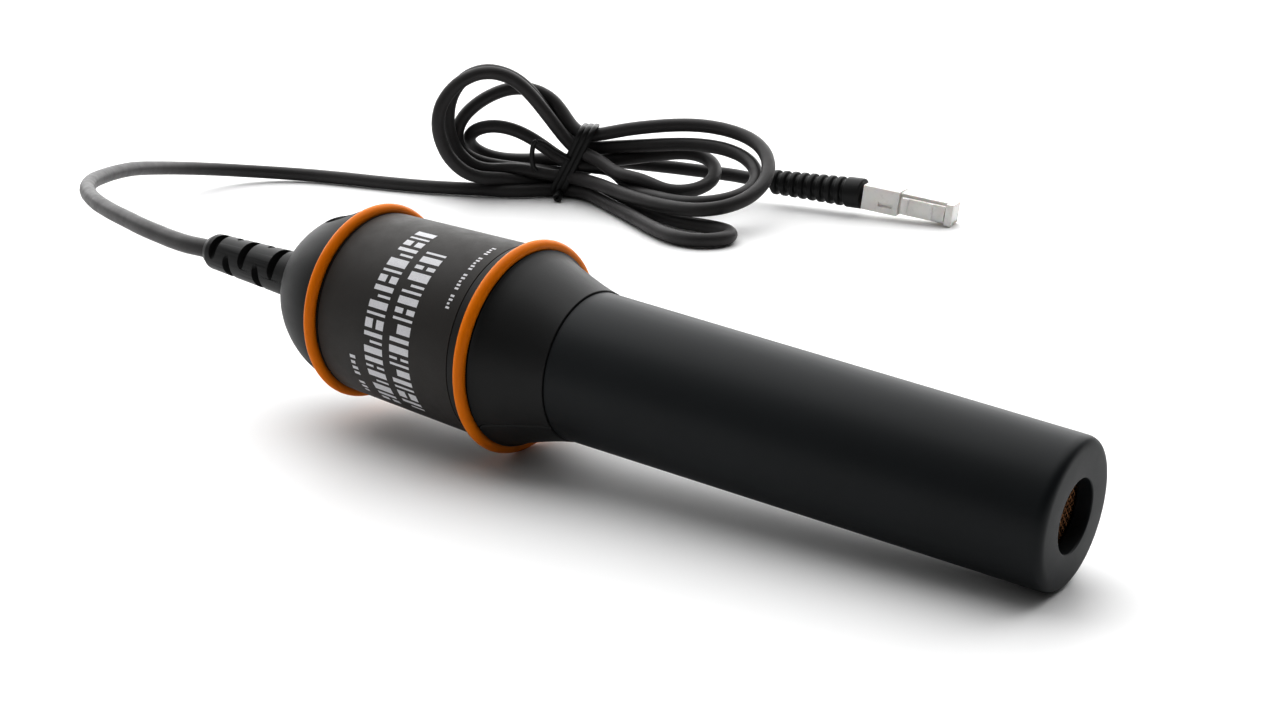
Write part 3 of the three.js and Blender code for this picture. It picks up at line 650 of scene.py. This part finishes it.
def dome_radius(x):
    u = (DOME["start"] - x) / DOME["length"]
    return handle_radius(DOME["start"]) * (1 - u ** DOME["power"]) ** (1 / DOME["power"])


def dome_x(r):
    """Where the dome has that radius."""
    share = (r / handle_radius(DOME["start"])) ** DOME["power"]
    return DOME["start"] - DOME["length"] * (1 - share) ** (1 / DOME["power"])


def groove(x, outer, wire):
    floor = outer - 2 * wire - 0.15
    return [
        (x - wire - 0.25, handle_radius(x - wire)), (x - wire * 0.75, floor), (x + wire * 0.75, floor),
        (x + wire + 0.25, handle_radius(x + wire)),
    ]


def handle_profiles():
    mouth = 5.6
    end = dome_x(mouth + 0.5)
    outer = [(end - 0.15, mouth), (end - 0.1, mouth + 0.3)]
    steps = 30
    for i in range(steps, 0, -1):
        x = DOME["start"] + (end - DOME["start"]) * math.sin(math.pi / 2 * i / steps)
        outer.append((x, dome_radius(x)))
    outer += groove(**REAR_RING)
    a, b = LABEL
    recess = 0.5
    outer += [(a, handle_radius(a)), (a, handle_radius(a) - recess), (b, handle_radius(b) - recess)]
    outer += [(b, handle_radius(b) - 0.06), (b + 0.06, handle_radius(b))]
    outer += groove(**FRONT_RING)
    outer += [
        (1.75, 20.75), (2.3, 20.35), (4.5, 19.6), (8, 18.4), (12, 17.15), (14.6, 16.45), (16.1, 16.12),
        (16.62, 16.02), (16.72, 15.9),
    ]
    inner = [
        (16.72, 13.6), (11.3, 13.6), (11.3, 15.4), (8.5, 15.4), (6, 17.2), (-45, 17.2), (-52, 16), (-58, 13),
        (-61, 10.5), (-62.6, 7.8), (-62.6, mouth),
    ]
    return outer, inner


def make_handle():
    outer, inner = handle_profiles()
    gap = 0.0035
    shells = []
    for name, start in (("handle_upper", PARTING), ("handle_lower", PARTING + math.pi)):
        verts, faces = half_turned(outer, inner, start + gap, start + math.pi - gap, 90, 0.009)
        node = "handle_shell_upper" if name == "handle_upper" else "handle_shell_lower"
        shells.append(add_piece(name, verts, faces, "black_abs", sharp=28, replaces=(node,)))
    upper = shells[0]
    on_dome = Vector((SWITCH_X, 0, dome_radius(SWITCH_X))) * MM
    pocket = PROBE @ Matrix.Translation(on_dome) @ Matrix.Rotation(-SWITCH_SLOPE, 4, "Y")
    boss = prism(obround(10.6, 14), -3.6, -1.75)
    combine(upper, scrap(*boss, pocket), "UNION")
    recess = prism(obround(8.6, 12.4), -2.4, 6)
    combine(upper, scrap(*recess, pocket), "DIFFERENCE")
    slot = box_mesh((-1.3, -3.1, -6), (1.3, 3.1, 0))
    combine(upper, scrap(*slot, pocket), "DIFFERENCE")
    finish_piece(upper, "black_abs", 28)
    return pocket


def make_slider(pocket):
    low = -2.1
    half = 1.9
    replaced = ("beeper_switch_slider",)
    verts, faces = box_mesh((-half, -3.2, low), (half, 0.2, low + 1.0))
    slider = add_piece("switch_slider", verts, faces, "black_abs", pocket, replaces=replaced, body="switch")
    for y in (-2.8, -1.5, -0.2):
        rib = box_mesh((-half, y - 0.32, low + 0.9), (half, y + 0.32, low + 1.5))
        combine(slider, scrap(*rib, pocket), "UNION")
    stem = box_mesh((-0.85, -2.5, -5.7), (0.85, -0.5, low + 0.2))
    combine(slider, scrap(*stem, pocket), "UNION")
    soften(slider, 0.12, 50)
    finish_piece(slider, "black_abs", 40, body="switch")


def make_label():
    a, b = LABEL[0] + 0.18, LABEL[1] - 0.18
    thickness, edge = 0.35, 0.08
    profile = fillet([
        (a, handle_radius(a) - thickness), (a, handle_radius(a), edge),
        (b, handle_radius(b), edge), (b, handle_radius(b) - thickness),
    ])
    add_piece("label_film", *turned(profile, 180), "label_film", replaces=("label_sleeve",))


def patch(verts, faces, x0, x1, a0, a1):
    """A thin raised block of print on the label, from one angle to another in degrees."""
    steps = max(1, math.ceil(abs(a1 - a0) / 1.6))
    base = len(verts)
    for k in range(steps + 1):
        a = math.radians(a0 + (a1 - a0) * k / steps)
        for x in (x0, x1):
            for lift in (-0.02, 0.035):
                r = handle_radius(x) + lift
                verts.append((x, r * math.cos(a), r * math.sin(a)))
    for k in range(steps):
        i, j = base + 4 * k, base + 4 * (k + 1)
        for p, q in ((0, 1), (1, 3), (3, 2), (2, 0)):
            faces.append([i + p, i + q, j + q, j + p])
    faces.append([base, base + 1, base + 3, base + 2])
    last = base + 4 * steps
    faces.append([last, last + 1, last + 3, last + 2])


def make_print():
    """A made-up pulse pattern in white where a label has its rows of print."""
    verts, faces = [], []
    long_row = [
        4.4, 1.6, 4.4, 2.6, 1.6, 5.6, 1.6, 4.4, 3.2, 1.6, 4.4, 1.6, 5.6, 2.6, 1.6, 4.4, 3.2, 1.6, 4.4,
        1.6, 5.6, 2.6, 3.2,
    ]
    short_row = [
        1.6, 4.4, 2.6, 5.6, 1.6, 1.6, 4.4, 3.2, 1.6, 5.6, 2.6, 4.4, 1.6, 1.6, 4.4, 3.2, 1.6, 5.6, 2.6, 1.6,
    ]
    rows = [(-27.3, -22.1, 101, long_row), (-20.0, -14.6, 117, short_row)]
    for x0, x1, angle, widths in rows:
        for k, width in enumerate(widths):
            if k % 5 == 2:
                middle = (x0 + x1) / 2
                patch(verts, faces, x0, middle - 0.5, angle, angle + width)
                patch(verts, faces, middle + 0.5, x1, angle, angle + width)
            elif k % 5 == 4:
                patch(verts, faces, x0 + 1.7, x1, angle, angle + width)
            else:
                patch(verts, faces, x0, x1, angle, angle + width)
            angle += width + 2.35
    for x0, x1, first, last, step in ((-7.5, -6.5, 99, 150, 2.4), (-32.0, -30.4, 193, 226, 4.1)):
        count = round((last - first) / step)
        for k in range(count):
            if k % 6 != 4:
                a = first + k * step
                patch(verts, faces, x0, x1 - (0.35 if k % 3 == 1 else 0), a, a + step * 0.55)
    add_piece("label_print", verts, faces, "print_white", sharp=30)


def make_ring(name, node, x, outer, wire):
    profile = []
    sides = 28
    for i in range(sides):
        a = 2 * math.pi * i / sides
        profile.append((x + wire * math.sin(a), outer - wire + wire * math.cos(a)))
    add_piece(name, *turned(profile, 200), "orange_rubber", sharp=60, replaces=(node,))


def make_tube():
    end = TUBE_END
    bore, spigot, window, wall = 12, 13.4, 6.97, 3
    collar = [(8.8, bore), (8.8, 15.2), (11, 15.2), (11, spigot)]
    shoulder = [(16.85, spigot), (16.85, 15.68, 0.14)]
    front = [(end, 14.4, 2.1), (end, window, 0.35), (end - wall, window), (end - wall, bore)]
    profile = fillet(collar + shoulder + front, 8)
    add_piece("probe_tube", *turned(profile, 220), "tube_abs", sharp=30, replaces=("front_tube",))


def make_window_mesh():
    """Woven wire across the window: each wire passes over and under the ones it crosses."""
    face = TUBE_END - 3.45
    pitch, wire, limit, sides = 0.9, 0.15, 9.3, 6
    verts, faces = [], []
    count = int(limit / pitch)
    for direction in (0, 1):
        for k in range(-count, count + 1):
            across = k * pitch
            half = math.sqrt(max(0, limit**2 - across**2))
            if half < pitch:
                continue
            steps = max(4, round(4 * half / pitch))
            base = len(verts)
            for i in range(steps + 1):
                along = -half + 2 * half * i / steps
                wave = wire * 0.95 * math.cos(math.pi * (along / pitch + k + direction))
                for s in range(sides):
                    a = 2 * math.pi * s / sides
                    u, w = across + wire * math.cos(a), face - 0.25 + wave + wire * math.sin(a)
                    verts.append((w, u, along) if direction else (w, along, u))
            for i in range(steps):
                ring = base + i * sides
                for s in range(sides):
                    t = (s + 1) % sides
                    faces.append([ring + s, ring + t, ring + sides + t, ring + sides + s])
            faces.append([base + s for s in range(sides)])
            faces.append([base + steps * sides + s for s in range(sides)])
    add_piece("window_mesh", verts, faces, "copper_mesh", sharp=60, replaces=("window_guard_mesh",))


def relief_radius(x):
    end_radius, swell = 4.15, 1.2
    return end_radius + swell * (x - RELIEF_END) / (RELIEF_ROOT - RELIEF_END)


def slot_cutter(x, turn):
    """A crescent with rounded ends that cuts one slot to the relief's core, a quarter turn from the angle."""
    verts, faces = [], []
    steps, core, far = 14, 2.75, 8.0
    for i in range(steps + 1):
        t = -1 + 2 * i / steps
        a = turn + math.pi / 2 + math.radians(60) * t
        width = 1.25 * max(0.02, 1 - abs(t) ** 3.2) ** 0.5
        for r in (core, far):
            inner = core + 1.6 * t**4 if r == core else r
            for side in (-1, 1):
                verts.append((x + side * width, inner * math.cos(a), inner * math.sin(a)))
    for i in range(steps):
        a, b = 4 * i, 4 * (i + 1)
        for p, q in ((0, 1), (1, 3), (3, 2), (2, 0)):
            faces.append([a + p, a + q, b + q, b + p])
    faces += [[0, 1, 3, 2], [4 * steps + j for j in (0, 1, 3, 2)]]
    return scrap(verts, faces, PROBE)


def make_rear_relief():
    """The tapered relief, cut by rings of paired slots that alternate by a quarter turn."""
    profile = fillet([
        (-89, 2.25), (RELIEF_END, 2.25, 0.3), (RELIEF_END, 3.2, 0.5), (-94.1, relief_radius(-94.1), 1.2),
        (RELIEF_ROOT, 5.35), (-63.4, 5.35), (-62.7, 7.3), (-60.6, 7.3), (-60.6, 0), (-89, 0),
    ], 5)
    relief = add_piece("rear_relief", *turned(profile, 96), "soft_pvc", replaces=("rear_strain_relief",))
    first_slot, step = -91.6, 5.05
    for k in range(5):
        x = first_slot + step * k
        for side in (0, 1):
            turn = PARTING + (k % 2) * math.pi / 2 + side * math.pi
            combine(relief, slot_cutter(x, turn), "DIFFERENCE")
    soften(relief, 0.22, 55, 2)
    finish_piece(relief, "soft_pvc", 40)


pocket_frame = make_handle()
make_slider(pocket_frame)
make_label()
make_print()
make_ring("front_ring", "front_o_ring", **FRONT_RING)
make_ring("rear_ring", "rear_o_ring", **REAR_RING)
make_tube()
make_window_mesh()
make_rear_relief()


# ---------------------------------------------------------------- plug
def make_plug_relief():
    length = (PLUG_JOINT - PLUG_START).length / MM - 0.3
    profile = [(5, 0), (5, 2.25), (0, 2.25, 0.2), (0, 3.0, 0.3)]
    ribs, first, step = 8, 0.7, 3.3
    for i in range(ribs):
        x = first + step * i
        r = 4.0 + 0.95 * x / length
        rib = [(x, r - 0.9), (x + 0.15, r, 0.5), (x + 1.75, r + 0.05, 0.5)]
        profile += rib + [(x + 2.0, r - 1.0, 0.3), (x + 3.0, r - 1.0, 0.3)]
    collar = first + step * ribs
    profile += [(collar, 4.2), (collar + 0.2, 4.9, 0.5), (length, 4.9, 0.6), (length, 0)]
    shape = turned(fillet(profile, 4), 64)
    return add_piece("plug_relief", *shape, "soft_pvc", RELIEF, 40, ("plug_strain_relief",))


def make_plug_body():
    length = PLUG_LENGTH
    root = length - 2.6
    shoulder, nose_high, lever_high = 12.6, 3.4, 2.6
    verts, faces = box_mesh((0.6, -4.3, -3.9), (shoulder, 4.3, 3.9))
    body = add_piece("plug_shell", verts, faces, "plug_plastic", PLUG, replaces=("plug_body",))
    nose = box_mesh((shoulder - 0.5, -2.5, -nose_high), (length, 3.3, nose_high))
    combine(body, scrap(*nose, PLUG), "UNION")
    lever_root = box_mesh((root + 0.3, -4.6, -nose_high), (length, -2.3, nose_high))
    combine(body, scrap(*lever_root, PLUG), "UNION")
    side_mark = box_mesh((6, -5, -1.9), (10.6, -3.3, -0.4))
    combine(body, scrap(*side_mark, PLUG), "DIFFERENCE")
    for i in range(6):
        y = -1.9 + 0.92 * i
        channel = box_mesh((length - 6.5, y - 0.35, -5), (length + 1, y + 0.35, -2.4))
        combine(body, scrap(*channel, PLUG), "DIFFERENCE")
    soften(body, 0.28, 50, 3)
    finish_piece(body, "plug_plastic", 40)

    thumb = 13.8
    verts, faces = box_mesh((thumb, -4.6, -lever_high), (root, -3.5, lever_high))
    replaced = ("plug_latch",)
    latch = add_piece("latch_lever", verts, faces, "plug_plastic", PLUG, replaces=replaced, body="latch")
    pad = box_mesh((thumb, -5.3, -lever_high), (16.0, -4.4, lever_high))
    combine(latch, scrap(*pad, PLUG), "UNION")
    catch = box_mesh((root - 5, -5.1, -lever_high), (root - 3.8, -4.4, lever_high))
    combine(latch, scrap(*catch, PLUG), "UNION")
    soften(latch, 0.18, 50, 2)
    finish_piece(latch, "plug_plastic", 40, body="latch")
    return body, latch


plug_relief = make_plug_relief()
plug_shell, latch_lever = make_plug_body()


# ---------------------------------------------------------------- the tie round the hank
def strap(name, path, half_width, half_thick, place, replaces=()):
    """A flat strap swept along an open path, its width as near to local X as the path allows."""
    sides = 10
    verts, faces = [], []
    for i, here in enumerate(path):
        along = (path[min(i + 1, len(path) - 1)] - path[max(i - 1, 0)]).normalized()
        wide = Vector((1, 0, 0))
        wide = (wide - along * wide.dot(along)).normalized()
        thick = along.cross(wide)
        for s in range(sides):
            a = 2 * math.pi * s / sides
            verts.append(here + wide * half_width * math.cos(a) + thick * half_thick * math.sin(a))
    for i in range(len(path) - 1):
        for s in range(sides):
            t = (s + 1) % sides
            faces.append([i * sides + s, i * sides + t, (i + 1) * sides + t, (i + 1) * sides + s])
    faces.append(list(range(sides)))
    faces.append(list(range((len(path) - 1) * sides, len(path) * sides)))
    return add_piece(name, verts, faces, "tie_plastic", place, 50, replaces)


def make_tie():
    """A strip wound round the leaning bundle, twisted off at its foot, with one end left loose."""
    place = Matrix.Translation(TIE * MM) @ Matrix.Rotation(TIE_YAW, 4, "Z")
    half, low, high, radius, steps = 5.6, 0.75, 23.9, 3.4, 7
    corners = [(half, high, 0), (-half, high, 90), (-half, low, 180), (half, low, 270)]
    loop = []
    for y, z, start in corners:
        cy, cz = y - math.copysign(radius, y), z + (radius if z == low else -radius)
        for k in range(steps + 1):
            a = math.radians(start + 90 * k / steps)
            loop.append((cy + radius * math.cos(a), cz + radius * math.sin(a)))
    loop = loop[3 * (steps + 1) - 3:] + loop[:3 * (steps + 1) - 3]  # starts and ends low on the near side
    turns = 3
    middle = LOWEST_ROW + 2 * ROW_HEIGHT
    path = []
    count = turns * len(loop)
    for i in range(count):
        y, z = loop[i % len(loop)]
        spread = 1.9 * (i / count * turns - turns / 2)
        swell = 1 + 0.03 * math.sin(i * 0.37)
        path.append(Vector((TIE_LEAN * (z - middle) + spread, y * swell, z)))
    strip = strap("cord_tie_strip", path, 0.95, 0.45, place, ("cord_tie",))
    foot = Vector((-3.2, -5.2, 2.0))
    tails = []
    for name, phase in (("cord_tie_end_1", 0), ("cord_tie_end_2", math.pi)):
        twist = []
        for k in range(25):
            t = k / 24
            a = phase + 5 * math.pi * t
            swing = 0.65 + 1.5 * max(0, t - 0.7)
            here = foot + Vector((0.6, -6.5, -0.5)) * t
            twist.append(here + Vector((swing * math.cos(a), 0, swing * math.sin(a))))
        tails.append(strap(name, twist, 0.6, 0.5, place))
    loose = [
        (0.5, -5.9, 13.5), (-4, -7.2, 16.4), (-8.2, -8, 19.2), (-10.6, -8.1, 19.4), (-11.6, -8, 16.5),
        (-11.7, -7.8, 12.8), (-11.3, -7.6, 10.8), (-10.4, -7.2, 9.6),
    ]
    line = [Vector(point) for point in spline_through(loose, 0.6)]
    tails.append(strap("cord_tie_end_3", line, 0.85, 0.7, place))
    return [strip, *tails]


tie = make_tie()


# ---------------------------------------------------------------- inner and carried-over CAD nodes
for part in frame["record"]["subparts"]:
    node = bpy.data.objects.get(part["node"])
    if node is not None and not node.hide_render:
        node.data.materials.clear()
        node.data.materials.append(MATERIALS[part["material_slot"]])


# ---------------------------------------------------------------- floor, lights, world
def make_stage():
    mesh = bpy.data.meshes.new("floor")
    half = 9
    corners = [(-half, -half, 0), (half, -half, 0), (half, half, 0), (-half, half, 0)]
    mesh.from_pydata(corners, [], [(0, 1, 2, 3)])
    floor = bpy.data.objects.new("floor", mesh)
    bpy.context.scene.collection.objects.link(floor)
    paper = material("floor_paper", (0.9, 0.9, 0.9), 0.55)
    n = Nodes(paper)
    n.colour(n.ramp(n.noise(3, 2), [(0.3, (0.89, 0.89, 0.89)), (0.7, (0.91, 0.91, 0.91))]))
    mesh.materials.append(paper)

    sun_data = bpy.data.lights.new("overhead", "SUN")
    sun_data.energy = 3.5
    sun_data.angle = math.radians(105)
    sun = bpy.data.objects.new("overhead", sun_data)
    bpy.context.scene.collection.objects.link(sun)
    sun.rotation_mode = "QUATERNION"
    sun.rotation_quaternion = Vector((0.4, -0.54, -0.74)).to_track_quat("-Z", "Y")

    world = bpy.data.worlds.new("studio")
    bpy.context.scene.world = world
    world.use_nodes = True
    tree = world.node_tree
    background = tree.nodes["Background"]
    coords = tree.nodes.new("ShaderNodeTexCoord")
    facing = tree.nodes.new("ShaderNodeVectorMath")
    facing.operation = "DOT_PRODUCT"
    facing.inputs[1].default_value = Vector((-0.75, 0.52, 0.4)).normalized()
    ramp = tree.nodes.new("ShaderNodeMapRange")
    ramp.interpolation_type = "SMOOTHSTEP"
    for socket, value in (("From Min", -0.5), ("From Max", 0.7), ("To Min", 0.04), ("To Max", 0.9)):
        ramp.inputs[socket].default_value = value
    tree.links.new(coords.outputs["Generated"], facing.inputs[0])
    tree.links.new(facing.outputs["Value"], ramp.inputs["Value"])
    tree.links.new(ramp.outputs["Result"], background.inputs["Color"])
    background.inputs["Strength"].default_value = 1.0
    bpy.context.scene.view_settings.view_transform = "Standard"
    bpy.context.scene.view_settings.look = "None"
    bpy.context.scene.view_settings.gamma = 0.8  # the black plastics keep their depth beside a white table


make_stage()
